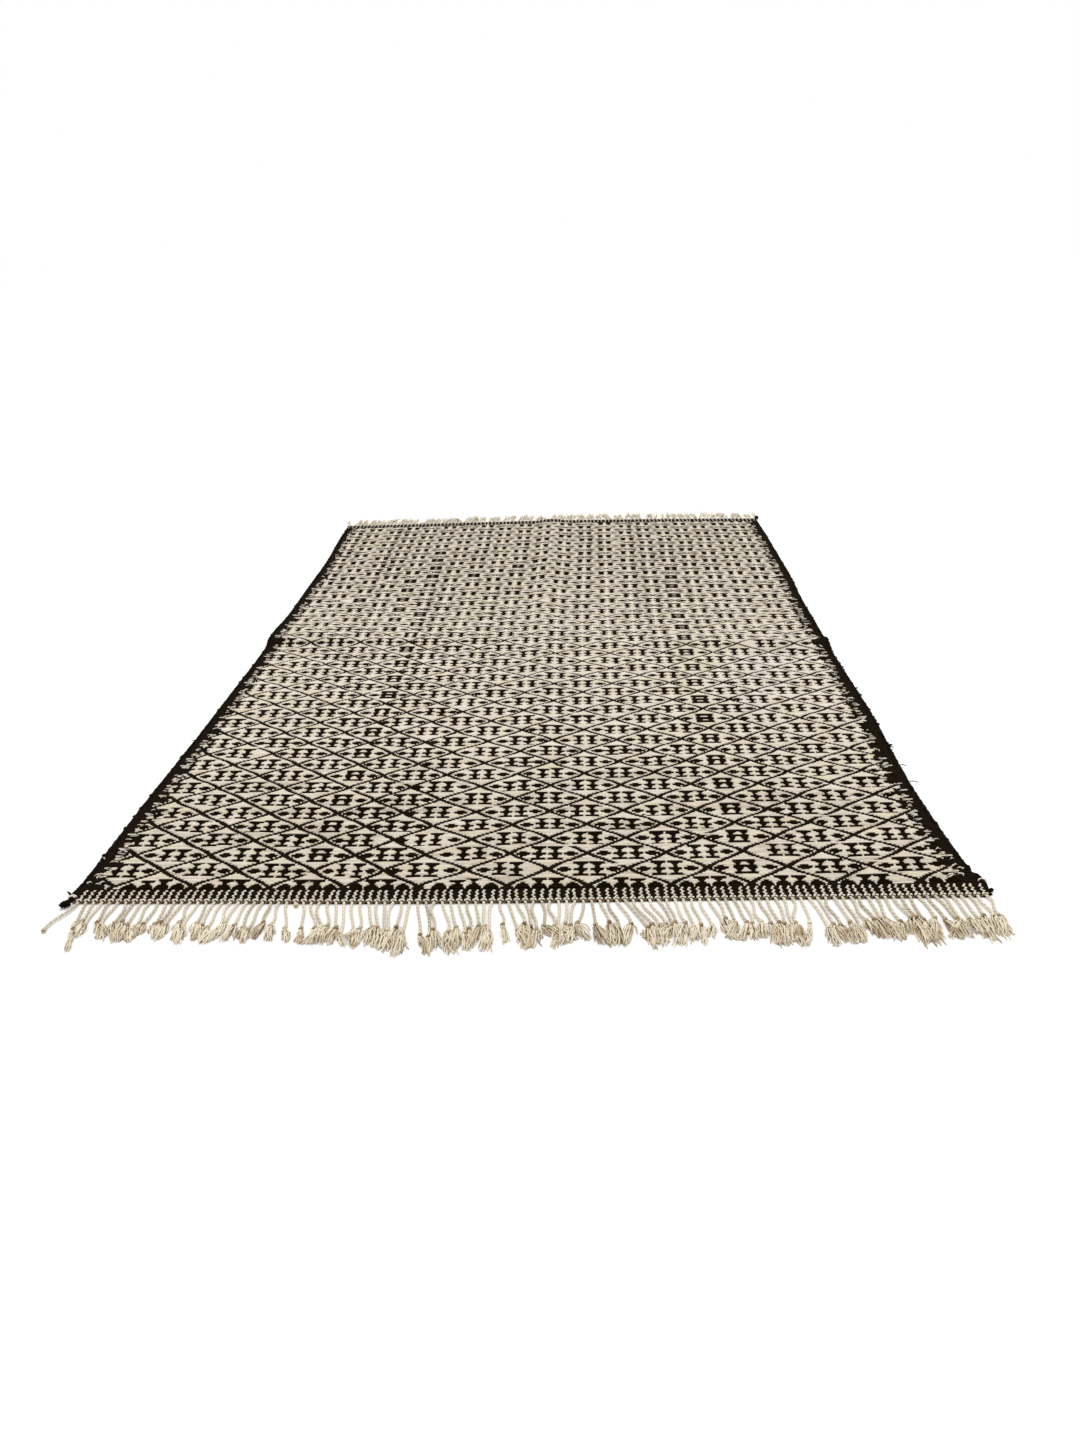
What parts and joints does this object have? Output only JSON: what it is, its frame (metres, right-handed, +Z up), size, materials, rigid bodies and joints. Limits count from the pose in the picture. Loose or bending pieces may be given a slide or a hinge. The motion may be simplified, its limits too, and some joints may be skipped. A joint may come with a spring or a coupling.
{
  "type": "flatwoven wool rug",
  "caption": "Flatwoven ivory and black rug lying flat, with diamond lattice in raised floats, black selvages and knotted fringe at both ends.",
  "frame": {"origin": "on the floor under the middle of the rug", "axes": "+X across the rug to its right side, +Y along the rug from the near end to the far end, +Z up off the floor"},
  "size_m": [1.8436, 3.2663, 0.0201],
  "materials": {
    "ivory_and_black_wool": "matt wool, ivory floats over a black ground",
    "fringe_yarn": "matt cream yarn, plied, with loose cut ends",
    "black_wool": "matt black wool"
  },
  "bodies": {
    "root": {"woven_field": "ivory_and_black_wool", "near_fringe": "fringe_yarn", "far_fringe": "fringe_yarn", "near_left_knot": "black_wool", "near_right_stub": "black_wool", "far_right_stub": "black_wool"}
  },
  "joints": []
}
